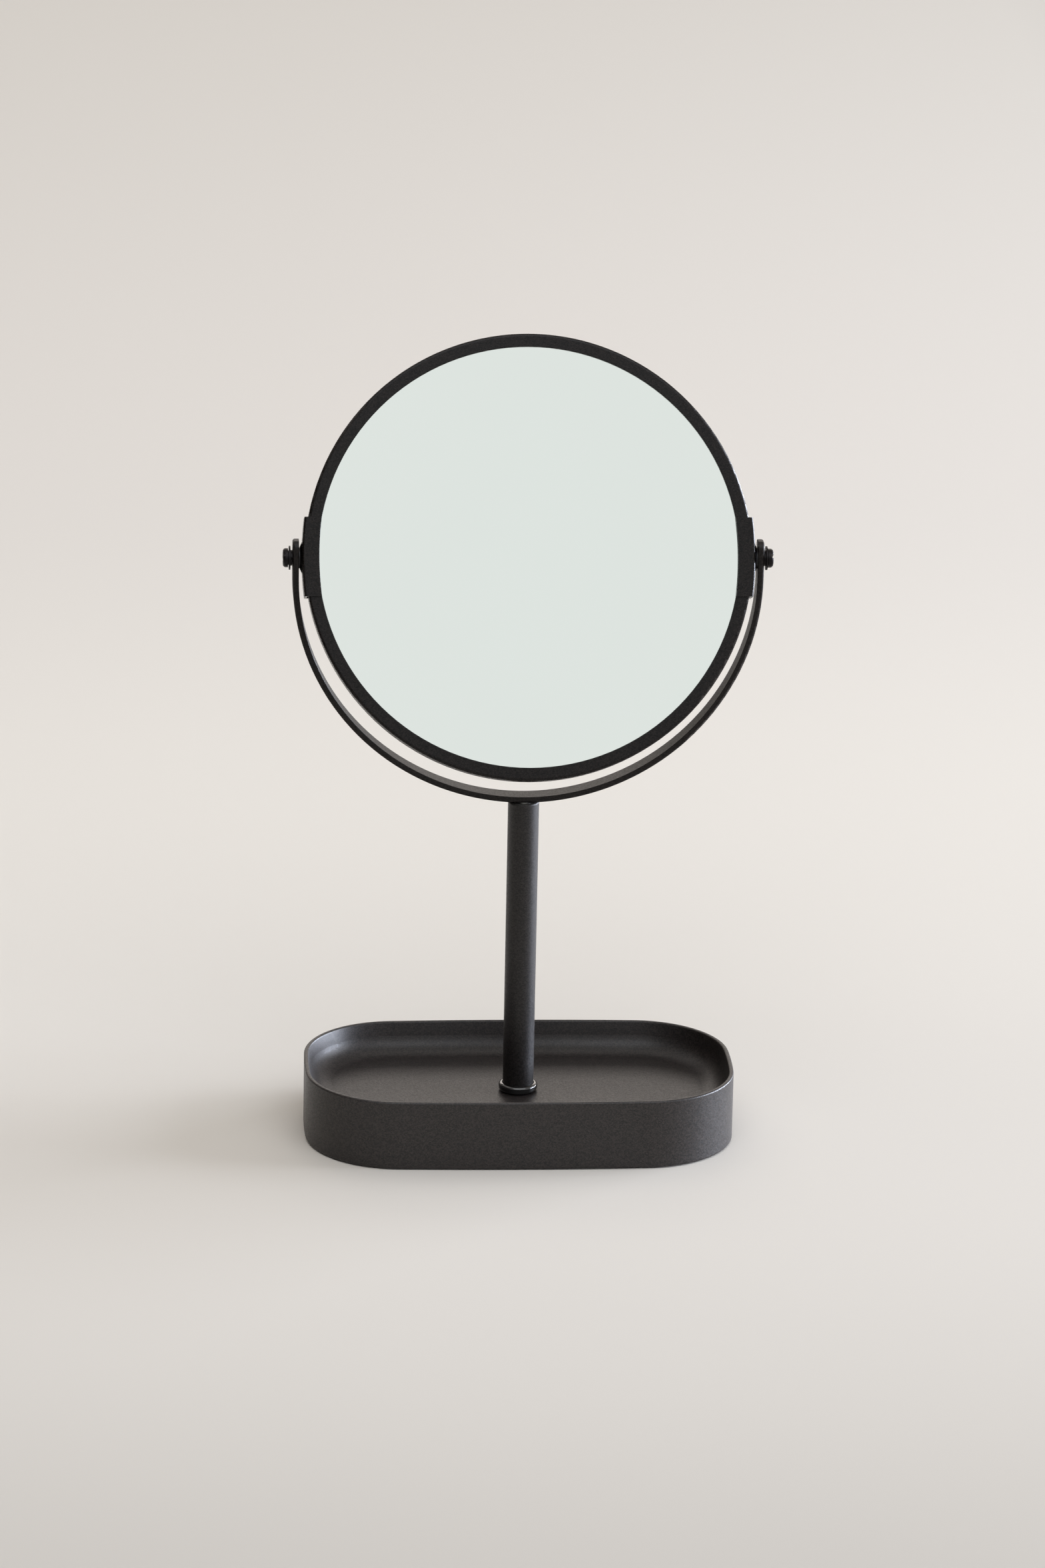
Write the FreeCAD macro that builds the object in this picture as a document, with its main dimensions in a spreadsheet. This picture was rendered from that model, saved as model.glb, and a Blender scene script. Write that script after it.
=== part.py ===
import FreeCAD, Part
import math
import os
import re
import Sketcher

# Table vanity mirror: a round two-sided mirror that turns between the arms of a strap yoke,
# on a tube that stands in a shallow tray. X runs to the right, Y away from the user and Z up.
# The origin is on the table, under the middle of the tray.

# Driving dimensions, in millimetres and degrees.
sizes = {
    "tray_half_width": 86.25,
    "tray_half_depth": 48.4,
    "tray_height": 28.5,
    "tray_side_bow": 1250,
    "tray_end_bow": 260,
    "tray_corner": 37.5,
    "tray_lip": 1.7,
    "tray_lip_edge": 0.75,
    "tray_foot_edge": 0.8,
    "tray_floor": 3.0,
    "tray_wall": 5.0,
    "recess_depth": 12.4,
    "recess_draft": 12,
    "recess_scoop": 8.5,
    "cover_inset": 3.0,
    "cover_gap": 0.2,
    "cover_thickness": 2.0,
    "cover_recess": 0.4,
    "boss_across": 72,
    "boss_along": 18,
    "boss_radius": 3.5,
    "cover_screw_radius": 1.45,
    "cover_screw_head": 2.8,
    "cover_screw_length": 10,
    "cover_screw_recess": 0.8,
    "cover_screw_arm": 1.5,
    "cover_screw_blade": 0.35,
    "foot_across": 58,
    "foot_along": 36,
    "foot_radius": 6.0,
    "foot_thickness": 1.6,
    "foot_proud": 0.4,
    "foot_edge": 0.3,
    "ballast_half_width": 62,
    "ballast_half_depth": 33,
    "ballast_thickness": 6.0,
    "ballast_corner": 8.0,
    "ballast_sink_radius": 8.5,
    "ballast_sink_depth": 3.0,
    "bolt_radius": 3.0,
    "bolt_hole": 3.3,
    "bolt_head_radius": 5.25,
    "bolt_head_height": 3.3,
    "bolt_head_edge": 1.2,
    "bolt_socket": 2.3,
    "bolt_socket_depth": 2.0,
    "bolt_reach": 15,
    "base_washer_radius": 6.0,
    "base_washer_thickness": 1.2,
    "base_spring_radius": 5.4,
    "base_spring_thickness": 1.5,
    "post_radius": 6.2,
    "post_wall": 1.0,
    "post_top_edge": 0.8,
    "insert_length": 18,
    "insert_sink": 0.5,
    "insert_fit": 0.02,
    "stud_length": 13,
    "collar_radius": 7.85,
    "collar_height": 3.45,
    "collar_inner_edge": 0.35,
    "collar_top_edge": 1.23,
    "collar_bottom_edge": 1.55,
    "collar_fit": 0.05,
    "pivot_height": 238.95,
    "yoke_radius": 92.7,
    "yoke_drop": 7.31,
    "yoke_rise": 7.3,
    "strap_thickness": 2.45,
    "strap_width": 8.5,
    "strap_end_round": 3.0,
    "strap_edge": 0.2,
    "strap_outer_edge": 0.9,
    "weld_seam": 0.03,
    "head_tilt": 20.8,
    "hoop_radius": 88.0,
    "hoop_half_depth": 5.0,
    "hoop_wall": 0.9,
    "hoop_opening": 82.75,
    "hoop_edge": 1.1,
    "hoop_lip_edge": 0.3,
    "hoop_split": 0.8,
    "glass_radius": 86.6,
    "glass_thickness": 2.5,
    "glass_bevel": 0.4,
    "glass_fit": 0.02,
    "magnifier_sag": 2.75,
    "magnifier_flat": 0.5,
    "spacer_inner": 80.0,
    "spacer_outer": 86.4,
    "spacer_taper": 0.45,
    "clip_half_length": 15.6,
    "clip_wall": 1.0,
    "clip_bow": 130,
    "clip_reach": 82.3,
    "clip_fit": 0.05,
    "clip_edge": 1.0,
    "clip_lip_edge": 0.25,
    "bush_base": 6.2,
    "bush_top": 4.3,
    "bush_height": 0.8,
    "bush_spigot": 3.5,
    "spigot_fit": 0.05,
    "thread_fit": 0.05,
    "pivot_radius": 2.0,
    "pivot_fit": 0.06,
    "pivot_length": 7.0,
    "pivot_neck_radius": 2.9,
    "pivot_neck_height": 0.35,
    "pivot_head_radius": 3.75,
    "pivot_head_height": 2.0,
    "pivot_head_edge": 1.1,
    "pivot_slot_width": 1.4,
    "pivot_slot_depth": 0.9,
    "right_slot_turn": -10,
    "left_slot_turn": 16,
    "friction_washer_radius": 4.2,
    "friction_washer_thickness": 0.3,
    "flat_washer_radius": 4.75,
    "flat_washer_thickness": 0.6,
    "washer_gap": 0.05,
    "washer_hole": 2.15,
    "spring_washer_radius": 3.1,
    "spring_washer_thickness": 0.65,
    "spring_washer_lift": 0.1,
    "spring_washer_turns": 0.95,
}

doc = FreeCAD.newDocument("VanityMirror")
sheet = doc.addObject("Spreadsheet::Sheet", "dims")
for row, (alias, number) in enumerate(sizes.items(), start=1):
    sheet.set(f"A{row}", alias)
    sheet.set(f"B{row}", str(number))
    sheet.setAlias(f"B{row}", alias)
doc.recompute()

# Heights that several pieces share, as sums of driving dimensions.
shell_bottom = "foot_proud"
cover_bottom = "(foot_proud + cover_recess)"
cover_top = "(foot_proud + cover_recess + cover_thickness)"
recess_floor = "(tray_height - recess_depth)"
cavity_top = "(tray_height - recess_depth - tray_floor)"
ballast_bottom = "(tray_height - recess_depth - tray_floor - ballast_thickness)"
base_washer_top = f"({ballast_bottom} + ballast_sink_depth)"
base_spring_top = f"({base_washer_top} - base_washer_thickness)"
bolt_seat = f"({base_spring_top} - base_spring_thickness)"
strap_bottom = "(pivot_height - yoke_drop - yoke_radius)"
post_top = f"({strap_bottom} - weld_seam)"

# Places along the pivot axis, measured from the middle of the mirror.
hoop_bore = "(hoop_radius - hoop_wall)"
clip_outside = "(hoop_radius + clip_fit + clip_wall)"
bush_face = f"({clip_outside} + bush_height)"
spring_washer_seat = "(yoke_radius + washer_gap)"
flat_washer_seat = f"({spring_washer_seat} + spring_washer_thickness + spring_washer_lift + washer_gap)"
screw_seat = f"({flat_washer_seat} + flat_washer_thickness)"

# Ends of a sketch edge, and the sketch's own origin and axes.
edge_start = 1
edge_end = 2
edge_centre = 3
root_point = -1
across_axis = -1
upright_axis = -2

near = 0.01
full_turn = 360
bodies = []


def bound(words):
    # An expression in size names, written with references to the sheet.
    return re.sub(r"[a-z_]+", lambda found: ("dims." if found.group() in sizes else "") + found.group(), words)


def value(words):
    return float(sheet.evalExpression(bound(words)))


def new_body(label, placement=FreeCAD.Placement()):
    body = doc.addObject("PartDesign::Body", label)
    body.Label = label
    body.AllowCompound = True
    body.Placement = placement
    bodies.append(body)
    return body


def origin_feature(body, role):
    return next(feature for feature in body.Origin.OriginFeatures if feature.Role == role)


def new_sketch(body, plane, height="0"):
    # A sketch on one of the body's origin planes, lifted along the plane's normal.
    sketch = body.newObject("Sketcher::SketchObject", body.Label + "_sketch")
    sketch.AttachmentSupport = [(origin_feature(body, plane), "")]
    sketch.MapMode = "FlatFace"
    sketch.setExpression("AttachmentOffset.Base.z", bound(height))
    return sketch


def bind_size(sketch, constraint, words):
    row = sketch.addConstraint(constraint)
    sketch.setExpression(f"Constraints[{row}]", bound(words))


def hold_point(sketch, edge, end, across, up):
    # Holds a point of an edge at a place measured from the sketch's origin.
    for kind, axis, words in (("DistanceX", upright_axis, across), ("DistanceY", across_axis, up)):
        if words == "0":
            sketch.addConstraint(Sketcher.Constraint("PointOnObject", edge, end, axis))
        else:
            bind_size(sketch, Sketcher.Constraint(kind, root_point, 1, edge, end, value(words)), words)


def draw_polygon(sketch, corners):
    points = [FreeCAD.Vector(value(across), value(up), 0) for across, up in corners]
    edges = [sketch.addGeometry(Part.LineSegment(point, following))
             for point, following in zip(points, points[1:] + points[:1])]
    for edge, following in zip(edges, edges[1:] + edges[:1]):
        sketch.addConstraint(Sketcher.Constraint("Coincident", edge, edge_end, following, edge_start))
    for edge, (across, up) in zip(edges, corners):
        hold_point(sketch, edge, edge_start, across, up)


def draw_circle(sketch, radius, across="0", up="0"):
    middle = FreeCAD.Vector(value(across), value(up), 0)
    edge = sketch.addGeometry(Part.Circle(middle, FreeCAD.Vector(0, 0, 1), value(radius)))
    bind_size(sketch, Sketcher.Constraint("Radius", edge, value(radius)), radius)
    hold_point(sketch, edge, edge_centre, across, up)


def draw_arc(sketch, middle, radius, begin, finish):
    # An arc whose radius is held; begin and finish are its rough angles in radians.
    circle = Part.Circle(FreeCAD.Vector(*middle, 0), FreeCAD.Vector(0, 0, 1), value(radius))
    edge = sketch.addGeometry(Part.ArcOfCircle(circle, begin, finish))
    bind_size(sketch, Sketcher.Constraint("Radius", edge, value(radius)), radius)
    return edge


def draw_four(sketch, radius, across, along):
    for side in ("", "-"):
        for end in ("", "-"):
            draw_circle(sketch, radius, side + across, end + along)


def draw_tray_outline(sketch, inset):
    # The tray's outline moved inwards: eight tangent arcs, with long and short sides that bow out a little.
    side_middle = value("tray_half_depth - tray_side_bow")
    end_middle = value("tray_half_width - tray_end_bow")
    side_reach = value("tray_side_bow - tray_corner")
    end_reach = value("tray_end_bow - tray_corner")
    span = math.hypot(side_middle, end_middle)
    along = (side_reach ** 2 - end_reach ** 2 + span ** 2) / (2 * span)
    off = math.sqrt(side_reach ** 2 - along ** 2)
    step_across = end_middle / span
    step_up = -side_middle / span
    corner_across = along * step_across + off * step_up
    corner_up = side_middle + along * step_up - off * step_across
    end_angle = math.atan2(corner_up, corner_across - end_middle)
    side_angle = math.atan2(corner_up - side_middle, corner_across)
    edges = []
    for half in (0, math.pi):
        sign = math.cos(half)
        end_place = (sign * end_middle, 0)
        side_place = (0, sign * side_middle)
        first_corner = (sign * corner_across, sign * corner_up)
        second_corner = (-sign * corner_across, sign * corner_up)
        end_arc = draw_arc(sketch, end_place, f"tray_end_bow - {inset}", half - end_angle, half + end_angle)
        edges.append(end_arc)
        edges.append(draw_arc(sketch, first_corner, f"tray_corner - {inset}", half + end_angle, half + side_angle))
        side_arc = draw_arc(sketch, side_place, f"tray_side_bow - {inset}",
                            half + side_angle, half + math.pi - side_angle)
        edges.append(side_arc)
        edges.append(draw_arc(sketch, second_corner, f"tray_corner - {inset}",
                              half + math.pi - side_angle, half + math.pi - end_angle))
        lead = "" if sign > 0 else "-"
        hold_point(sketch, end_arc, edge_centre, f"{lead}(tray_half_width - tray_end_bow)", "0")
        hold_point(sketch, side_arc, edge_centre, "0", f"{lead}(tray_half_depth - tray_side_bow)")
    for edge, following in zip(edges, edges[1:] + edges[:1]):
        sketch.addConstraint(Sketcher.Constraint("Tangent", edge, edge_end, following, edge_start))


def add_feature(body, kind, sketch):
    feature = body.newObject("PartDesign::" + kind, f"{body.Label}_{kind.lower()}")
    feature.Profile = sketch
    return feature


def pad(body, sketch, length, side="One side", down=False):
    feature = add_feature(body, "Pad", sketch)
    feature.SideType = side
    feature.Reversed = down
    feature.setExpression("Length", bound(length))
    doc.recompute()
    return feature


def cut(body, sketch, length, side="One side", backwards=False, draft="0"):
    # A pocket, which has to take some volume away; a draft makes it narrower as it goes in.
    before = body.Shape.Volume
    feature = add_feature(body, "Pocket", sketch)
    feature.SideType = side
    feature.Reversed = backwards
    feature.setExpression("Length", bound(length))
    feature.setExpression("TaperAngle", bound(f"-({draft})"))
    doc.recompute()
    if body.Shape.Volume > before - near:
        raise RuntimeError(f"a pocket in {body.Label} cuts nothing")


def spin(body, corners, axis):
    # A turned piece: a polygon on the XY plane, spun about one of the sketch's axes.
    sketch = new_sketch(body, "XY_Plane")
    draw_polygon(sketch, corners)
    feature = add_feature(body, "Revolution", sketch)
    feature.ReferenceAxis = (sketch, [axis])
    feature.Angle = full_turn
    doc.recompute()


def dress(body, kind, prop, words, chosen):
    # A fillet or chamfer along the edges that the test picks out.
    base = body.Tip
    names = [f"Edge{number}" for number, edge in enumerate(base.Shape.Edges, start=1) if chosen(edge)]
    if not names:
        raise RuntimeError(f"no edge to dress in {body.Label}")
    feature = body.newObject("PartDesign::" + kind, f"{body.Label}_{kind.lower()}")
    feature.Base = (base, names)
    feature.setExpression(prop, bound(words))
    doc.recompute()


def round_edges(body, radius, chosen):
    dress(body, "Fillet", "Radius", radius, chosen)


def bevel_edges(body, size, chosen):
    dress(body, "Chamfer", "Size", size, chosen)


def level_at(edge, words):
    # True for an edge that lies flat at a height.
    box = edge.BoundBox
    return abs(box.ZMin - value(words)) < near and abs(box.ZMax - value(words)) < near


def ring_at(edge, place, radius):
    # True for a full circle about the Z or X axis, at a place on that axis and of one radius.
    if not isinstance(edge.Curve, Part.Circle):
        return False
    middle = edge.Curve.Center
    return abs(middle.x + middle.y + middle.z - value(place)) < near and abs(edge.Curve.Radius - value(radius)) < near


def washer(label, inner, outer, thickness, low, placement=FreeCAD.Placement(), upright=True):
    # A flat washer about Z, or about X when it isn't upright.
    body = new_body(label, placement)
    if upright:
        sketch = new_sketch(body, "XY_Plane", low)
        draw_circle(sketch, outer)
        draw_circle(sketch, inner)
        pad(body, sketch, thickness)
    else:
        high = f"{low} + {thickness}"
        spin(body, [(low, inner), (high, inner), (high, outer), (low, outer)], "H_Axis")


def split_washer(label, inner, outer, thickness, lift, seat, plane, axis, placement=FreeCAD.Placement()):
    # A spring washer: a flat section that climbs along the axis and stops short of a whole turn.
    body = new_body(label, placement)
    sketch = new_sketch(body, plane)
    top = f"{seat} + {thickness}"
    if axis == "V_Axis":
        draw_polygon(sketch, [(inner, seat), (outer, seat), (outer, top), (inner, top)])
    else:
        draw_polygon(sketch, [(seat, inner), (top, inner), (top, outer), (seat, outer)])
    coil = add_feature(body, "AdditiveHelix", sketch)
    coil.ReferenceAxis = (sketch, [axis])
    coil.Mode = "height-turns-angle"
    coil.setExpression("Height", bound(lift))
    coil.setExpression("Turns", bound("spring_washer_turns"))
    doc.recompute()


# Tray and what is under it

def make_tray_shell():
    body = new_body("tray_shell")
    outline = new_sketch(body, "XY_Plane", shell_bottom)
    draw_tray_outline(outline, "0")
    pad(body, outline, f"tray_height - {shell_bottom}")
    recess = new_sketch(body, "XY_Plane", "tray_height")
    draw_tray_outline(recess, "tray_lip")
    cut(body, recess, "recess_depth", draft="recess_draft")
    round_edges(body, "recess_scoop", lambda edge: level_at(edge, recess_floor))
    round_edges(body, "tray_lip_edge", lambda edge: level_at(edge, "tray_height"))
    round_edges(body, "tray_foot_edge", lambda edge: level_at(edge, shell_bottom))
    ledge = new_sketch(body, "XY_Plane", shell_bottom)
    draw_tray_outline(ledge, "cover_inset")
    cut(body, ledge, "cover_recess + cover_thickness", backwards=True)
    cavity = new_sketch(body, "XY_Plane", cover_top)
    draw_tray_outline(cavity, "tray_wall")
    cut(body, cavity, f"{cavity_top} - {cover_top}", backwards=True)
    bosses = new_sketch(body, "XY_Plane", cover_top)
    draw_four(bosses, "boss_radius", "boss_across", "boss_along")
    pad(body, bosses, f"{cavity_top} - {cover_top}")
    pilots = new_sketch(body, "XY_Plane", cover_top)
    draw_four(pilots, "(cover_screw_radius + thread_fit)", "boss_across", "boss_along")
    cut(body, pilots, f"{cavity_top} - {cover_top}", backwards=True)
    bolt_way = new_sketch(body, "XY_Plane", recess_floor)
    draw_circle(bolt_way, "bolt_hole")
    cut(body, bolt_way, "tray_floor")


def make_ballast_plate():
    body = new_body("ballast_plate")
    plate = new_sketch(body, "XY_Plane", ballast_bottom)
    draw_polygon(plate, [("-ballast_half_width", "-ballast_half_depth"), ("ballast_half_width", "-ballast_half_depth"),
                         ("ballast_half_width", "ballast_half_depth"), ("-ballast_half_width", "ballast_half_depth")])
    pad(body, plate, "ballast_thickness")
    round_edges(body, "ballast_corner", lambda edge: edge.BoundBox.ZLength > value("ballast_thickness") - near)
    sink = new_sketch(body, "XY_Plane", ballast_bottom)
    draw_circle(sink, "ballast_sink_radius")
    cut(body, sink, "ballast_sink_depth", backwards=True)
    bolt_way = new_sketch(body, "XY_Plane", ballast_bottom)
    draw_circle(bolt_way, "bolt_hole")
    cut(body, bolt_way, "ballast_thickness", backwards=True)


def make_base_cover():
    body = new_body("base_cover")
    plate = new_sketch(body, "XY_Plane", cover_bottom)
    draw_tray_outline(plate, "(cover_inset + cover_gap)")
    pad(body, plate, "cover_thickness")
    holes = new_sketch(body, "XY_Plane", cover_bottom)
    draw_four(holes, "(cover_screw_radius + 3 * thread_fit)", "boss_across", "boss_along")
    cut(body, holes, "cover_thickness", backwards=True)
    bevel_edges(body, "cover_screw_head - cover_screw_radius - 2 * thread_fit",
                lambda edge: level_at(edge, cover_bottom)
                and isinstance(edge.Curve, Part.Circle)
                and edge.Curve.Radius < value("cover_screw_head"))
    seats = new_sketch(body, "XY_Plane", cover_bottom)
    draw_four(seats, "(foot_radius + spigot_fit)", "foot_across", "foot_along")
    cut(body, seats, f"foot_thickness - {cover_bottom}", backwards=True)


def make_cover_screws():
    body = new_body("cover_screws")
    heads = new_sketch(body, "XY_Plane", cover_bottom)
    draw_four(heads, "cover_screw_head", "boss_across", "boss_along")
    pad(body, heads, "cover_screw_head - cover_screw_radius")
    bevel_edges(body, "cover_screw_head - cover_screw_radius - thread_fit",
                lambda edge: level_at(edge, f"{cover_bottom} + cover_screw_head - cover_screw_radius"))
    shanks = new_sketch(body, "XY_Plane", cover_bottom)
    draw_four(shanks, "cover_screw_radius", "boss_across", "boss_along")
    pad(body, shanks, "cover_screw_length")
    blades = (("cover_screw_arm", "cover_screw_blade"), ("cover_screw_blade", "cover_screw_arm"))
    for half_across, half_along in blades:
        slots = new_sketch(body, "XY_Plane", cover_bottom)
        for side in ("", "-"):
            for end in ("", "-"):
                low_across = f"{side}boss_across - {half_across}"
                high_across = f"{side}boss_across + {half_across}"
                low_along = f"{end}boss_along - {half_along}"
                high_along = f"{end}boss_along + {half_along}"
                draw_polygon(slots, [(low_across, low_along), (high_across, low_along),
                                     (high_across, high_along), (low_across, high_along)])
        cut(body, slots, "cover_screw_recess", backwards=True)


def make_foot_pads():
    body = new_body("foot_pads")
    pads = new_sketch(body, "XY_Plane")
    draw_four(pads, "foot_radius", "foot_across", "foot_along")
    pad(body, pads, "foot_thickness")
    round_edges(body, "foot_edge", lambda edge: level_at(edge, "0"))


def make_base_bolt():
    # A button-head bolt with a hexagon socket, head down, up through ballast and tray into the tube's plug.
    body = new_body("base_bolt")
    head = new_sketch(body, "XY_Plane", f"{bolt_seat} - bolt_head_height")
    draw_circle(head, "bolt_head_radius")
    pad(body, head, "bolt_head_height")
    round_edges(body, "bolt_head_edge", lambda edge: level_at(edge, f"{bolt_seat} - bolt_head_height"))
    shank = new_sketch(body, "XY_Plane", bolt_seat)
    draw_circle(shank, "bolt_radius")
    pad(body, shank, f"{recess_floor} + bolt_reach - {bolt_seat}")
    socket = new_sketch(body, "XY_Plane", f"{bolt_seat} - bolt_head_height")
    angles = [math.pi / 3 * step for step in range(6)]
    draw_polygon(socket, [(f"bolt_socket * {math.cos(angle):.6f}", f"bolt_socket * {math.sin(angle):.6f}")
                          for angle in angles])
    cut(body, socket, "bolt_socket_depth", backwards=True)


# Post

def make_post_tube():
    body = new_body("post_tube")
    ring = new_sketch(body, "XY_Plane", recess_floor)
    draw_circle(ring, "post_radius")
    draw_circle(ring, "(post_radius - post_wall)")
    pad(body, ring, f"{post_top} - {recess_floor}")
    round_edges(body, "post_top_edge", lambda edge: ring_at(edge, post_top, "post_radius"))


def make_post_collar():
    body = new_body("post_collar")
    ring = new_sketch(body, "XY_Plane", recess_floor)
    draw_circle(ring, "collar_radius")
    draw_circle(ring, "(post_radius + collar_fit)")
    pad(body, ring, "collar_height")
    top = f"{recess_floor} + collar_height"
    round_edges(body, "collar_top_edge", lambda edge: ring_at(edge, top, "collar_radius"))
    round_edges(body, "collar_inner_edge", lambda edge: ring_at(edge, top, "post_radius + collar_fit"))
    round_edges(body, "collar_bottom_edge", lambda edge: ring_at(edge, recess_floor, "collar_radius"))


def make_post_insert(label, low):
    # A threaded plug that is pressed into one end of the tube.
    body = new_body(label)
    plug = new_sketch(body, "XY_Plane", low)
    draw_circle(plug, "(post_radius - post_wall - insert_fit)")
    draw_circle(plug, "(bolt_radius + thread_fit)")
    pad(body, plug, "insert_length")


# Yoke

def make_yoke_stud():
    body = new_body("yoke_stud")
    shank = new_sketch(body, "XY_Plane", post_top)
    draw_circle(shank, "bolt_radius")
    pad(body, shank, "stud_length", down=True)


def make_yoke_strap():
    # A flat strap bent to a half circle with short straight arms; its sketch is drawn from the pivot.
    body = new_body("yoke_strap", FreeCAD.Placement(FreeCAD.Vector(0, 0, value("pivot_height")), FreeCAD.Rotation()))
    strap = new_sketch(body, "XZ_Plane")
    bend = (0, -value("yoke_drop"))
    outer = draw_arc(strap, bend, "yoke_radius", math.pi, 2 * math.pi)
    inner = draw_arc(strap, bend, "(yoke_radius - strap_thickness)", math.pi, 2 * math.pi)
    hold_point(strap, outer, edge_centre, "0", "-yoke_drop")
    strap.addConstraint(Sketcher.Constraint("Coincident", outer, edge_centre, inner, edge_centre))
    for sign, end in ((-1, edge_start), (1, edge_end)):
        lines = []
        for arc, radius in ((outer, "yoke_radius"), (inner, "(yoke_radius - strap_thickness)")):
            foot = FreeCAD.Vector(sign * value(radius), -value("yoke_drop"), 0)
            tip = FreeCAD.Vector(foot.x, value("yoke_rise"), 0)
            line = strap.addGeometry(Part.LineSegment(foot, tip))
            strap.addConstraint(Sketcher.Constraint("Tangent", arc, end, line, edge_start))
            strap.addConstraint(Sketcher.Constraint("Vertical", line))
            bind_size(strap, Sketcher.Constraint("DistanceY", root_point, 1, line, edge_end, tip.y), "yoke_rise")
            lines.append(line)
        tips = [strap.getPoint(line, edge_end) for line in lines]
        cap = strap.addGeometry(Part.LineSegment(*tips))
        strap.addConstraint(Sketcher.Constraint("Coincident", cap, edge_start, lines[0], edge_end))
        strap.addConstraint(Sketcher.Constraint("Coincident", cap, edge_end, lines[1], edge_end))
    pad(body, strap, "strap_width", side="Symmetric")
    hole = new_sketch(body, "YZ_Plane")
    draw_circle(hole, "(pivot_radius + pivot_fit)")
    cut(body, hole, "3 * yoke_radius", side="Symmetric")
    round_edges(body, "strap_end_round", lambda edge: edge.BoundBox.XLength > value("strap_thickness") - near
                and edge.BoundBox.YLength + edge.BoundBox.ZLength < near)
    half_width = value("strap_width") / 2
    outside = value("yoke_radius")
    for size, is_outer in (("strap_edge", False), ("strap_outer_edge", True)):
        round_edges(body, size, lambda edge: abs(abs(edge.CenterOfMass.y) - half_width) < near
                    and edge.BoundBox.YLength < near
                    and (max(-edge.BoundBox.XMin, edge.BoundBox.XMax) > outside - near) == is_outer)


# Mirror head, drawn upright about the middle of the pivot axis and then tilted

def head_place(half_turn=0, spin_angle=0):
    tilt = FreeCAD.Rotation(FreeCAD.Vector(1, 0, 0), -value("head_tilt"))
    face = FreeCAD.Rotation(FreeCAD.Vector(0, 0, 1), half_turn)
    turn = FreeCAD.Rotation(FreeCAD.Vector(1, 0, 0), spin_angle)
    return FreeCAD.Placement(FreeCAD.Vector(0, 0, value("pivot_height")), tilt * face * turn)


def make_rim_hoop():
    # A rolled channel, open towards the middle, with a split on the left and a hole at each pivot.
    body = new_body("rim_hoop", head_place())
    lip = "(hoop_half_depth - hoop_wall)"
    spin(body, [("hoop_opening", "-hoop_half_depth"), ("hoop_radius", "-hoop_half_depth"),
                ("hoop_radius", "hoop_half_depth"), ("hoop_opening", "hoop_half_depth"),
                ("hoop_opening", lip), (hoop_bore, lip),
                (hoop_bore, "-" + lip), ("hoop_opening", "-" + lip)], "V_Axis")
    half_depth = value("hoop_half_depth")
    round_edges(body, "hoop_edge", lambda edge: abs(abs(edge.CenterOfMass.y) - half_depth) < near
                and edge.BoundBox.XMax > value("hoop_radius") - near)
    round_edges(body, "hoop_lip_edge", lambda edge: abs(abs(edge.CenterOfMass.y) - half_depth) < near
                and edge.BoundBox.XMax < value("hoop_opening") + near)
    holes = new_sketch(body, "YZ_Plane")
    draw_circle(holes, "(bush_spigot + spigot_fit)")
    cut(body, holes, "3 * hoop_radius", side="Symmetric")
    split = new_sketch(body, "YZ_Plane")
    draw_polygon(split, [("-2 * hoop_half_depth", "-hoop_split / 2"), ("2 * hoop_half_depth", "-hoop_split / 2"),
                         ("2 * hoop_half_depth", "hoop_split / 2"), ("-2 * hoop_half_depth", "hoop_split / 2")])
    cut(body, split, "2 * hoop_radius")


def make_front_mirror():
    body = new_body("front_mirror", head_place())
    face = "(hoop_wall + glass_fit - hoop_half_depth)"
    back = f"({face} + glass_thickness)"
    spin(body, [("0", face), ("(glass_radius - glass_bevel)", face), ("glass_radius", f"{face} + glass_bevel"),
                ("glass_radius", back), ("0", back)], "V_Axis")


def make_rear_mirror():
    # A hollow-faced magnifying glass: both faces are arcs about centres on the mirror's axis, with a speck
    # of flat in the middle.
    body = new_body("rear_mirror", head_place())
    face_edge = "(hoop_half_depth - hoop_wall - glass_fit)"
    back_edge = f"({face_edge} - glass_thickness)"
    rim = value("glass_radius")
    sag = value("magnifier_sag")
    flat = value("magnifier_flat")
    rise = (rim ** 2 - flat ** 2 - sag ** 2) / (2 * sag)
    bend = math.hypot(rim, rise)
    start, stop = (math.asin(reach / bend) - math.pi / 2 for reach in (flat, rim))
    sketch = new_sketch(body, "XY_Plane")
    arcs = []
    levels = []
    for edge_place in (back_edge, face_edge):
        middle = FreeCAD.Vector(0, value(edge_place) + rise, 0)
        circle = Part.Circle(middle, FreeCAD.Vector(0, 0, 1), bend)
        arc = sketch.addGeometry(Part.ArcOfCircle(circle, start, stop))
        sketch.addConstraint(Sketcher.Constraint("PointOnObject", arc, edge_centre, upright_axis))
        hold_point(sketch, arc, edge_start, "magnifier_flat", f"{edge_place} - magnifier_sag")
        hold_point(sketch, arc, edge_end, "glass_radius", edge_place)
        arcs.append(arc)
        inner = sketch.getPoint(arc, edge_start)
        level = sketch.addGeometry(Part.LineSegment(inner, FreeCAD.Vector(0, inner.y, 0)))
        sketch.addConstraint(Sketcher.Constraint("Coincident", level, edge_start, arc, edge_start))
        sketch.addConstraint(Sketcher.Constraint("Horizontal", level))
        sketch.addConstraint(Sketcher.Constraint("PointOnObject", level, edge_end, upright_axis))
        levels.append(level)
    for sides in (arcs, levels):
        ends = [sketch.getPoint(side, edge_end) for side in sides]
        line = sketch.addGeometry(Part.LineSegment(*ends))
        sketch.addConstraint(Sketcher.Constraint("Coincident", line, edge_start, sides[0], edge_end))
        sketch.addConstraint(Sketcher.Constraint("Coincident", line, edge_end, sides[1], edge_end))
    glass = add_feature(body, "Revolution", sketch)
    glass.ReferenceAxis = (sketch, ["V_Axis"])
    glass.Angle = full_turn
    doc.recompute()


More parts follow.
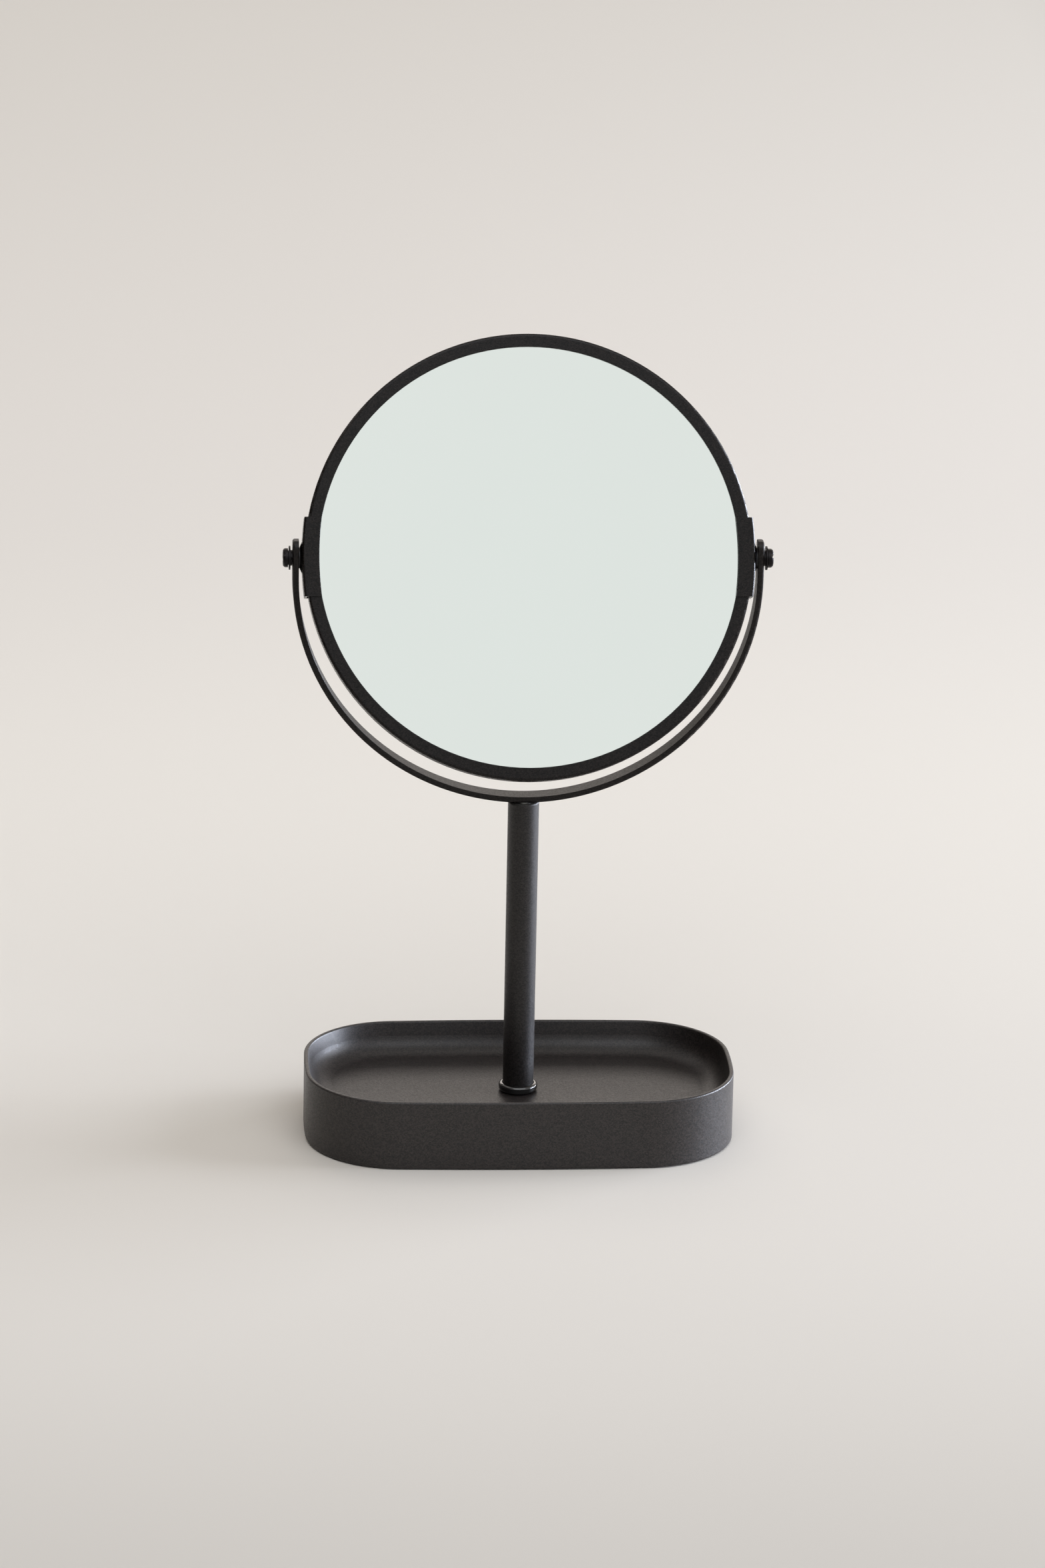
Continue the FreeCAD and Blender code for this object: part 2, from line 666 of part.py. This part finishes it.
def make_spacer_ring():
    # A ring between the glasses, thinner inside where the magnifying glass bulges.
    body = new_body("spacer_ring", head_place())
    reach = "(hoop_half_depth - hoop_wall - 2 * glass_fit - glass_thickness)"
    spin(body, [("spacer_inner", "-" + reach), ("spacer_outer", "-" + reach), ("spacer_outer", reach),
                ("spacer_inner", f"{reach} - spacer_taper")], "V_Axis")


def make_clip(label, placement):
    # A pressed channel round the hoop, bent flatter than the hoop and open towards the middle.
    body = new_body(label, placement)
    half_depth = "(hoop_half_depth + clip_fit + clip_wall)"
    bend = (value(f"{clip_outside} - clip_bow"), 0)
    inner_radius = f"(clip_bow - {clip_outside} + clip_reach)"
    sector = new_sketch(body, "XZ_Plane")
    arcs = []
    for radius in ("clip_bow", inner_radius):
        opening = math.asin(value(f"clip_half_length / {radius}"))
        arc = draw_arc(sector, bend, radius, -opening, opening)
        hold_point(sector, arc, edge_centre, f"{clip_outside} - clip_bow", "0")
        for end, words in ((edge_start, "-clip_half_length"), (edge_end, "clip_half_length")):
            bind_size(sector, Sketcher.Constraint("DistanceY", root_point, 1, arc, end, value(words)), words)
        arcs.append(arc)
    for end in (edge_start, edge_end):
        ends = [sector.getPoint(arc, end) for arc in arcs]
        line = sector.addGeometry(Part.LineSegment(*ends))
        sector.addConstraint(Sketcher.Constraint("Coincident", line, edge_start, arcs[0], end))
        sector.addConstraint(Sketcher.Constraint("Coincident", line, edge_end, arcs[1], end))
    pad(body, sector, f"2 * {half_depth}", side="Symmetric")
    channel = new_sketch(body, "XZ_Plane")
    draw_circle(channel, "(clip_bow - clip_wall)", f"({clip_outside} - clip_bow)", "0")
    cut(body, channel, "2 * (hoop_half_depth + clip_fit)", side="Symmetric")
    reach = value(half_depth)
    web_edge = value(f"{clip_outside} - clip_edge")
    lip_edge = value("clip_reach")
    round_edges(body, "clip_edge", lambda edge: abs(abs(edge.CenterOfMass.y) - reach) < near
                and edge.CenterOfMass.x > web_edge and edge.BoundBox.ZLength > value("clip_half_length"))
    round_edges(body, "clip_lip_edge", lambda edge: abs(abs(edge.CenterOfMass.y) - reach) < near
                and edge.CenterOfMass.x < lip_edge and edge.BoundBox.ZLength > value("clip_half_length"))
    hole = new_sketch(body, "YZ_Plane")
    draw_circle(hole, "(bush_spigot + spigot_fit)")
    cut(body, hole, "3 * hoop_radius", side="Symmetric")


def make_pivot_bush(label, placement):
    # A tapered nut on the clip, with a spigot through clip and hoop.
    body = new_body(label, placement)
    bore = "(pivot_radius + thread_fit)"
    spin(body, [(hoop_bore, bore), (hoop_bore, "bush_spigot"), (clip_outside, "bush_spigot"),
                (clip_outside, "bush_base"), (bush_face, "bush_top"), (bush_face, bore)], "H_Axis")


def make_pivot_screw(label, placement):
    # A slotted pan-head screw with a low neck under its head.
    body = new_body(label, placement)
    tip = f"({screw_seat} - pivot_length)"
    head = f"({screw_seat} + pivot_neck_height)"
    top = f"({head} + pivot_head_height)"
    spin(body, [(tip, "0"), (tip, "pivot_radius"), (screw_seat, "pivot_radius"), (screw_seat, "pivot_neck_radius"),
                (head, "pivot_neck_radius"), (head, "pivot_head_radius"), (top, "pivot_head_radius"), (top, "0")],
         "H_Axis")
    round_edges(body, "pivot_head_edge", lambda edge: ring_at(edge, top, "pivot_head_radius"))
    slot = new_sketch(body, "YZ_Plane", top)
    draw_polygon(slot, [("-2 * pivot_head_radius", "-pivot_slot_width / 2"),
                        ("2 * pivot_head_radius", "-pivot_slot_width / 2"),
                        ("2 * pivot_head_radius", "pivot_slot_width / 2"),
                        ("-2 * pivot_head_radius", "pivot_slot_width / 2")])
    cut(body, slot, "pivot_slot_depth")


make_tray_shell()
make_ballast_plate()
make_base_cover()
make_cover_screws()
make_foot_pads()
make_base_bolt()
washer("base_flat_washer", "(bolt_radius + 4 * thread_fit)", "base_washer_radius", "base_washer_thickness",
       base_spring_top)
split_washer("base_spring_washer", "(bolt_radius + 3 * thread_fit)", "base_spring_radius",
             "base_spring_thickness - spring_washer_lift", "spring_washer_lift", bolt_seat, "XZ_Plane", "V_Axis")
make_post_collar()
make_post_tube()
make_post_insert("post_bottom_insert", recess_floor)
make_post_insert("post_top_insert", f"{post_top} - insert_sink - insert_length")
make_yoke_stud()
make_yoke_strap()
make_rim_hoop()
make_front_mirror()
make_rear_mirror()
make_spacer_ring()
for hand, half_turn in (("right", 0), ("left", 180)):
    side_place = head_place(half_turn)
    make_clip(f"{hand}_clip", side_place)
    make_pivot_bush(f"{hand}_pivot_bush", side_place)
    make_pivot_screw(f"{hand}_pivot_screw", head_place(half_turn, value(f"{hand}_slot_turn")))
    washer(f"{hand}_friction_washer", "washer_hole", "friction_washer_radius", "friction_washer_thickness",
           bush_face, side_place, upright=False)
    washer(f"{hand}_flat_washer", "washer_hole", "flat_washer_radius", "flat_washer_thickness",
           flat_washer_seat, side_place, upright=False)
    split_washer(f"{hand}_spring_washer", "washer_hole", "spring_washer_radius", "spring_washer_thickness",
                 "spring_washer_lift", spring_washer_seat, "XY_Plane", "H_Axis", side_place)

doc.recompute()
for item in doc.Objects:
    if "Invalid" in item.State or "Error" in item.State:
        raise RuntimeError(f"{item.Label} failed: {item.State}")
for body in bodies:
    if body.Shape.isNull() or not body.Shape.isValid():
        raise RuntimeError(f"{body.Label} has no valid shape")
os.makedirs("parts", exist_ok=True)
for body in bodies:
    body.Shape.exportStep(f"parts/{body.Label}.step")
    print(f"{body.Label}: {len(body.Shape.Solids)} solids, {body.Shape.Volume:.0f} mm3")
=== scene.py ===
import math

import bpy
from mathutils import Matrix, Vector

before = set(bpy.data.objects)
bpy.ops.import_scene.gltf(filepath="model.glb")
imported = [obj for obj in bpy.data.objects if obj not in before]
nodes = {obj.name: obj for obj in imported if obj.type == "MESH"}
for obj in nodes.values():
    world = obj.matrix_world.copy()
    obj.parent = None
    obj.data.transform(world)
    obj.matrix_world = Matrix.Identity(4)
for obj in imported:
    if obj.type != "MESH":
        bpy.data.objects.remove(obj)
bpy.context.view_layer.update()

scene = bpy.context.scene
scene.view_settings.view_transform = "Standard"


def linear(hexColour):
    # sRGB hex to linear light, with alpha
    parts = [int(hexColour[i:i + 2], 16) / 255 for i in (1, 3, 5)]
    return tuple(c / 12.92 if c <= 0.04045 else ((c + 0.055) / 1.055) ** 2.4 for c in parts) + (1.0,)


def addNode(tree, kind, settings=None, links=None):
    # a node with its settings, by socket or by property, and the sockets that feed it
    node = tree.nodes.new(kind)
    for key, value in (settings or {}).items():
        if isinstance(key, int) or key in node.inputs:
            node.inputs[key].default_value = value
        else:
            setattr(node, key, value)
    for key, socket in (links or {}).items():
        tree.links.new(socket, node.inputs[key])
    return node


def newMaterial(name):
    material = bpy.data.materials.new(name)
    material.use_nodes = True
    material.node_tree.nodes.clear()
    return material, material.node_tree


# camera, at the photograph's angle
photoCamera = {
    "azimuth": -3.96,       # degrees, a little to the left of straight in front
    "elevation": 18.02,     # degrees above the horizon
    "roll": 1.15,           # degrees
    "aim": (-0.00057, 0.0, 0.14558),    # metres
    "distance": 2.6,        # metres, a guess that the photograph's weak perspective allows
    "reach": 50,            # metres, as far as the camera sees
    "lens": 150.33,         # millimetres
    "sensor": 36,           # millimetres, along the picture's long side
}


def makeCamera(s):
    azimuth, elevation, roll = (math.radians(s[key]) for key in ("azimuth", "elevation", "roll"))
    back = Vector((math.sin(azimuth) * math.cos(elevation),
                   -math.cos(azimuth) * math.cos(elevation), math.sin(elevation)))
    right = Vector((0, 0, 1)).cross(back).normalized()
    up = back.cross(right)
    rolledRight = right * math.cos(roll) + up * math.sin(roll)
    rolledUp = up * math.cos(roll) - right * math.sin(roll)
    data = bpy.data.cameras.new("photoCamera")
    data.sensor_width = s["sensor"]
    data.lens = s["lens"]
    data.clip_end = s["reach"]
    camera = bpy.data.objects.new("photoCamera", data)
    turn = Matrix((rolledRight, rolledUp, back)).transposed().to_4x4()
    camera.matrix_world = Matrix.Translation(Vector(s["aim"]) + back * s["distance"]) @ turn
    scene.collection.objects.link(camera)
    scene.camera = camera


makeCamera(photoCamera)

# paper floor, which also makes the whole background
paperFloor = {
    "radius": 9.0,      # metres
    "corners": 96,
    # metres from front to back, and the paper's tone there with painted light and shade: a painted pool of
    # light, lightest just behind the tray, with painted shade in front and far off
    "paperAndPaintedLight": [(-0.6, "#d1ccc3"), (-0.05, "#ebe6dd"), (0.45, "#f2ede3"), (0.95, "#ede8df"), (2.4, "#e6e2d9")],
    "paintedShadeSpan": (0.5, 1.5),      # metres to the right, over which painted shade darkens the paper towards the strip lamp
    "paintedShadeShare": 0.35,             # the share of its tone that the painted shade leaves there
    "roughness": 0.1,
}


def makeFloor(s):
    angles = [2 * math.pi * i / s["corners"] for i in range(s["corners"])]
    ring = [(s["radius"] * math.cos(a), s["radius"] * math.sin(a), 0) for a in angles]
    mesh = bpy.data.meshes.new("floor")
    mesh.from_pydata(ring, [], [list(range(s["corners"]))])
    floor = bpy.data.objects.new("floor", mesh)
    scene.collection.objects.link(floor)
    material, tree = newMaterial("paperWithPaintedLight")  # plain matt paper with painted shade far off and in front, a painted pool of light just behind the tray, and painted shade towards the right
    coords = addNode(tree, "ShaderNodeTexCoord")
    split = addNode(tree, "ShaderNodeSeparateXYZ", links={0: coords.outputs["Object"]})
    places = [place for place, tone in s["paperAndPaintedLight"]]
    front, back = places[0], places[-1]
    along = addNode(tree, "ShaderNodeMapRange", {"From Min": front, "From Max": back},
                    {"Value": split.outputs["Y"]})
    # the paper's tone along its depth, with painted light and shade: lightest just behind the tray
    paperAndPaintedLight = addNode(tree, "ShaderNodeValToRGB", links={0: along.outputs[0]})
    paperAndPaintedLight.color_ramp.interpolation = "EASE"
    for place in places[1:-1]:
        paperAndPaintedLight.color_ramp.elements.new((place - front) / (back - front))
    for stop, (place, tone) in zip(paperAndPaintedLight.color_ramp.elements, s["paperAndPaintedLight"]):
        stop.color = linear(tone)
    # painted shade: the paper darkens to the right, towards the strip lamp
    near, far = s["paintedShadeSpan"]
    across = addNode(tree, "ShaderNodeMapRange",
                     {"From Min": near, "From Max": far, "To Min": 1.0, "To Max": s["paintedShadeShare"]},
                     {"Value": split.outputs["X"]})
    colour = addNode(tree, "ShaderNodeMix", {"data_type": "RGBA", "blend_type": "MULTIPLY", 0: 1.0},
                     {6: paperAndPaintedLight.outputs["Color"], 7: across.outputs[0]})
    paper = addNode(tree, "ShaderNodeBsdfDiffuse", {"Roughness": s["roughness"]},
                    {"Color": colour.outputs[2]})
    addNode(tree, "ShaderNodeOutputMaterial", links={"Surface": paper.outputs[0]})
    mesh.materials.append(material)


# sky all round: matt surfaces are lit by a share of it, and glossy ones mirror all of it
studioSky = {
    "horizon": "#a5a19a",       # past the paper's end, in low views
    "front": "#f0efef",         # cool on the camera's side, which the glass mirrors
    "back": "#fbf3ea",          # warm on the far side, which the tray's floor mirrors
    "turn": (-0.5, 0.5),        # where front turns to back, along the depth of the view direction
    "sides": ("#463f38", "#f6f6f6", "#ffffff"),     # laid over that: the left, the middle and the right
    "ceiling": (0.38, 0.75),    # how steeply up the back begins and ends to dim for glossy surfaces
    "ceilingShare": 0.35,       # what is left there
    "fill": 0.36,               # the share that lights matt surfaces
}


def makeSky(s):
    world = bpy.data.worlds.new("studioSky")
    scene.world = world
    world.use_nodes = True
    tree = world.node_tree
    tree.nodes.clear()
    coords = addNode(tree, "ShaderNodeTexCoord")
    split = addNode(tree, "ShaderNodeSeparateXYZ", links={0: coords.outputs["Generated"]})
    path = addNode(tree, "ShaderNodeLightPath")

    # colour: front to back, times left to right, and plain where the camera looks past the paper
    behind = addNode(tree, "ShaderNodeMapRange", {"interpolation_type": "SMOOTHSTEP",
                                                  "From Min": s["turn"][0], "From Max": s["turn"][1]},
                     {"Value": split.outputs["Y"]})
    depthTint = addNode(tree, "ShaderNodeMix",
                        {"data_type": "RGBA", 6: linear(s["front"]), 7: linear(s["back"])},
                        {0: behind.outputs[0]})
    across = addNode(tree, "ShaderNodeMapRange", {"From Min": -1.0, "From Max": 1.0},
                     {"Value": split.outputs["X"]})
    sideTint = addNode(tree, "ShaderNodeValToRGB", links={0: across.outputs[0]})
    sideTint.color_ramp.interpolation = "EASE"
    sideTint.color_ramp.elements.new(0.5)
    for stop, tone in zip(sideTint.color_ramp.elements, s["sides"]):
        stop.color = linear(tone)
    colour = addNode(tree, "ShaderNodeMix", {"data_type": "RGBA", "blend_type": "MULTIPLY", 0: 1.0},
                     {6: depthTint.outputs[2], 7: sideTint.outputs[0]})
    shown = addNode(tree, "ShaderNodeMix", {"data_type": "RGBA", 7: linear(s["horizon"])},
                    {0: path.outputs["Is Camera Ray"], 6: colour.outputs[2]})

    # strength: full where it is seen or mirrored, less high up behind, and a share as fill light
    seen = addNode(tree, "ShaderNodeMath", {"operation": "MAXIMUM"},
                   {0: path.outputs["Is Camera Ray"], 1: path.outputs["Is Glossy Ray"]})
    seenToo = addNode(tree, "ShaderNodeMath", {"operation": "MAXIMUM"},
                      {0: seen.outputs[0], 1: path.outputs["Is Transmission Ray"]})
    aloft = addNode(tree, "ShaderNodeMapRange",
                    {"interpolation_type": "SMOOTHSTEP", "From Min": s["ceiling"][0],
                     "From Max": s["ceiling"][1], "To Min": 1.0, "To Max": s["ceilingShare"]},
                    {"Value": split.outputs["Z"]})
    mirrored = addNode(tree, "ShaderNodeMix", {2: 1.0}, {0: behind.outputs[0], 3: aloft.outputs[0]})
    strength = addNode(tree, "ShaderNodeMix", {2: s["fill"]},
                       {0: seenToo.outputs[0], 3: mirrored.outputs[0]})
    sky = addNode(tree, "ShaderNodeBackground",
                  links={"Color": shown.outputs[2], "Strength": strength.outputs[0]})
    addNode(tree, "ShaderNodeOutputWorld", links={"Surface": sky.outputs[0]})


# soft lamps that the camera doesn't see, in metres: place, aim, width, height, then watts and colour
lamps = {
    # the bright patch inside the tray's left end
    "rightSoftbox": ((3.15, 0.17, 1.31), (0, 0, 0.03), 1.53, 0.94, 36, "#ecf2ff"),
    # the cool edge along post and tray
    "rightStrip": ((3.9, 0.93, 0.34), (0, 0.17, 0.1), 4.1, 0.68, 485, "#e6eeff"),
    # the warm sheen on the tray's floor
    "backPanel": ((0.0, 3.1, 1.55), (0, 0, 0.1), 3.0, 0.9, 11, "#fff5ee"),
    # the front walls
    "frontPanel": ((0.2, -1.3, 2.1), (0, 0, 0.03), 2.6, 2.0, 21, "#f4f8ff"),
    # the paper behind
    "farPanel": ((-1.0, 0.9, 2.9), (-0.6, 0.9, 0.0), 4.0, 4.0, 28, "#fff8f4"),
}


def makeLamps(table):
    for name, (place, aim, width, height, power, colour) in table.items():
        data = bpy.data.lights.new(name, "AREA")
        data.shape = "RECTANGLE"
        data.size = width
        data.size_y = height
        data.energy = power
        data.color = linear(colour)[:3]
        lamp = bpy.data.objects.new(name, data)
        lamp.location = place
        lamp.rotation_mode = "QUATERNION"
        lamp.rotation_quaternion = (Vector(aim) - Vector(place)).to_track_quat("-Z", "Y")
        lamp.visible_camera = False
        scene.collection.objects.link(lamp)


makeFloor(paperFloor)
makeSky(studioSky)
makeLamps(lamps)
print("stage: floor, sky and", len(lamps), "lamps")


# coats and plastics, black with a fine grain: the flecks break up the sheen
# grain and relief in millimetres: the real grain, about 0.2, is too fine to show and is drawn coarser
coats = {
    # satin powder coat on the hoop and clips: soft sheen, faintly rough to the touch
    "satinPowderCoat": {"colour": "#020202", "fleck": "#221e1c", "grain": 0.45, "relief": 0.006,
                        "roughness": (0.19, 0.33), "specular": 0.2},
    # the same coat, duller, on the tube
    "dullPowderCoat": {"colour": "#030202", "fleck": "#252120", "grain": 0.45, "relief": 0.01,
                       "roughness": (0.38, 0.52), "specular": 0.42},
    # brownish and nearly matt on the strap, bright only where it is seen edge-on
    "mattPowderCoat": {"colour": "#030202", "fleck": "#221d1b", "grain": 0.45, "relief": 0.008,
                       "roughness": (0.35, 0.49), "specular": 0.22},
    # warm black moulded plastic with a spark-eroded grain, on the tray
    "grainedPlastic": {"colour": "#060505", "fleck": "#302a28", "grain": 0.45, "relief": 0.008,
                       "roughness": (0.36, 0.5), "specular": 0.5},
    # plain black plastic for the underside, with a coarser grain
    "coverPlastic": {"colour": "#161615", "fleck": "#232221", "grain": 1.2, "relief": 0.03,
                     "roughness": (0.48, 0.62), "specular": 0.4},
    # soft rubber, nearly without sheen
    "blackRubber": {"colour": "#171615", "fleck": "#2a2827", "grain": 0.9, "relief": 0.03,
                    "roughness": (0.73, 0.87), "specular": 0.3},
    # black nylon of the friction washers: smooth, with a waxy sheen
    "blackNylon": {"colour": "#131313", "fleck": "#1b1a1a", "grain": 0.9, "relief": 0.004,
                   "roughness": (0.33, 0.47), "specular": 0.4},
}


def grainedCoat(name, s):
    # each grain has its own colour and gloss, and stands up a little
    material, tree = newMaterial(name)
    coords = addNode(tree, "ShaderNodeTexCoord")
    grain = addNode(tree, "ShaderNodeTexVoronoi", {"Scale": 1000 / s["grain"]},
                    {"Vector": coords.outputs["Object"]})
    chance = addNode(tree, "ShaderNodeSeparateColor", links={0: grain.outputs["Color"]})
    colour = addNode(tree, "ShaderNodeMix",
                     {"data_type": "RGBA", 6: linear(s["colour"]), 7: linear(s["fleck"])},
                     {0: chance.outputs["Red"]})
    shine = addNode(tree, "ShaderNodeMapRange", {"To Min": s["roughness"][0], "To Max": s["roughness"][1]},
                    {"Value": chance.outputs["Green"]})
    bump = addNode(tree, "ShaderNodeBump", {"Strength": 1.0, "Distance": s["relief"] / 1000},
                   {"Height": grain.outputs["Distance"]})
    shader = addNode(tree, "ShaderNodeBsdfPrincipled", {"Specular IOR Level": s["specular"]},
                     {"Base Color": colour.outputs[2], "Roughness": shine.outputs[0],
                      "Normal": bump.outputs[0]})
    addNode(tree, "ShaderNodeOutputMaterial", links={"Surface": shader.outputs[0]})
    return material


def softClouds(tree, s):
    # slow clouds, with their size in millimetres, and the two colours that they mix
    coords = addNode(tree, "ShaderNodeTexCoord")
    cloud = addNode(tree, "ShaderNodeTexNoise", {"Scale": 1000 / s["patch"], "Detail": s["detail"]},
                    {"Vector": coords.outputs["Object"]})
    colour = addNode(tree, "ShaderNodeMix",
                     {"data_type": "RGBA", 6: linear(s["colour"]), 7: linear(s["cloud"])},
                     {0: cloud.outputs["Fac"]})
    return cloud, colour


# plated and bare metals, and the mirror's silver
metals = {
    # black zinc on the turned pivot parts: dark, with a metal's sheen on the edges
    "blackZincPlate": {"colour": "#1c1b1c", "cloud": "#2c2a2a", "patch": 2.0, "detail": 4.0,
                       "roughness": (0.32, 0.44)},
    # bright zinc on the hidden fasteners: pale grey, a little cloudy
    "brightZincPlate": {"colour": "#b4b7ba", "cloud": "#c8c5bc", "patch": 3.0, "detail": 4.0,
                        "roughness": (0.28, 0.4)},
    # rolled plate with its mill scale: blue-grey and blotched
    "rolledSteel": {"colour": "#4c4b4d", "cloud": "#6a655f", "patch": 9.0, "detail": 4.0,
                    "roughness": (0.44, 0.56)},
    # float glass silvered behind: a clean mirror with a breath of green and the faintest haze
    "silveredFloatGlass": {"colour": "#f3fbf6", "cloud": "#f5fdf8", "patch": 60, "detail": 2.0,
                           "roughness": (0.005, 0.025)},
}


def cloudyMetal(name, s):
    material, tree = newMaterial(name)
    cloud, colour = softClouds(tree, s)
    shine = addNode(tree, "ShaderNodeMapRange", {"To Min": s["roughness"][0], "To Max": s["roughness"][1]},
                    {"Value": cloud.outputs["Fac"]})
    shader = addNode(tree, "ShaderNodeBsdfPrincipled", {"Metallic": 1.0},
                     {"Base Color": colour.outputs[2], "Roughness": shine.outputs[0]})
    addNode(tree, "ShaderNodeOutputMaterial", links={"Surface": shader.outputs[0]})
    return material


# gloss black enamel on the collar: deep black that mirrors lamps and sky, with slow waves in the coat
collarEnamel = {"colour": "#0a0a0a", "cloud": "#141313", "patch": 4.0, "detail": 1.0, "relief": 0.02,
                "roughness": (0.09, 0.15), "specular": 0.5, "coat": 0.8, "coatRoughness": 0.06}


def glossEnamel(name, s):
    material, tree = newMaterial(name)
    wave, colour = softClouds(tree, s)
    shine = addNode(tree, "ShaderNodeMapRange", {"To Min": s["roughness"][0], "To Max": s["roughness"][1]},
                    {"Value": wave.outputs["Fac"]})
    bump = addNode(tree, "ShaderNodeBump", {"Strength": 1.0, "Distance": s["relief"] / 1000},
                   {"Height": wave.outputs["Fac"]})
    shader = addNode(tree, "ShaderNodeBsdfPrincipled",
                     {"Specular IOR Level": s["specular"], "Coat Weight": s["coat"],
                      "Coat Roughness": s["coatRoughness"]},
                     {"Base Color": colour.outputs[2], "Roughness": shine.outputs[0],
                      "Normal": bump.outputs[0]})
    addNode(tree, "ShaderNodeOutputMaterial", links={"Surface": shader.outputs[0]})
    return material


# moulded polystyrene of the spacer ring: milky, with light carried a millimetre in
spacerPlastic = {"colour": "#dededb", "cloud": "#e6e6e3", "patch": 5.0, "detail": 2.0, "roughness": 0.45,
                 "milkiness": 0.3, "carried": 1.0}


def milkyPlastic(name, s):
    material, tree = newMaterial(name)
    cloud, colour = softClouds(tree, s)
    shader = addNode(tree, "ShaderNodeBsdfPrincipled",
                     {"Roughness": s["roughness"], "Subsurface Weight": s["milkiness"],
                      "Subsurface Scale": s["carried"] / 1000}, {"Base Color": colour.outputs[2]})
    addNode(tree, "ShaderNodeOutputMaterial", links={"Surface": shader.outputs[0]})
    return material


finishes = {name: grainedCoat(name, s) for name, s in coats.items()}
finishes.update({name: cloudyMetal(name, s) for name, s in metals.items()})
finishes["glossBlackEnamel"] = glossEnamel("glossBlackEnamel", collarEnamel)
finishes["whitePolystyrene"] = milkyPlastic("whitePolystyrene", spacerPlastic)

# which pieces wear which finish
wears = {
    "satinPowderCoat": ["rim_hoop", "left_clip", "right_clip"],
    "dullPowderCoat": ["post_tube"],
    "mattPowderCoat": ["yoke_strap"],
    "grainedPlastic": ["tray_shell"],
    "coverPlastic": ["base_cover"],
    "blackRubber": ["foot_pads"],
    "glossBlackEnamel": ["post_collar"],
    "silveredFloatGlass": ["front_mirror", "rear_mirror"],
    "blackZincPlate": [side + piece for side in ("left_", "right_")
                       for piece in ("pivot_screw", "flat_washer", "spring_washer", "pivot_bush")],
    "brightZincPlate": ["post_top_insert", "post_bottom_insert", "yoke_stud", "base_bolt",
                        "base_flat_washer", "base_spring_washer", "cover_screws"],
    "rolledSteel": ["ballast_plate"],
    "blackNylon": ["left_friction_washer", "right_friction_washer"],
    "whitePolystyrene": ["spacer_ring"],
}
for finish, pieces in wears.items():
    for piece in pieces:
        nodes[piece].data.materials.clear()
        nodes[piece].data.materials.append(finishes[finish])
print("materials:", len(finishes), "finishes on", sum(len(pieces) for pieces in wears.values()), "pieces")
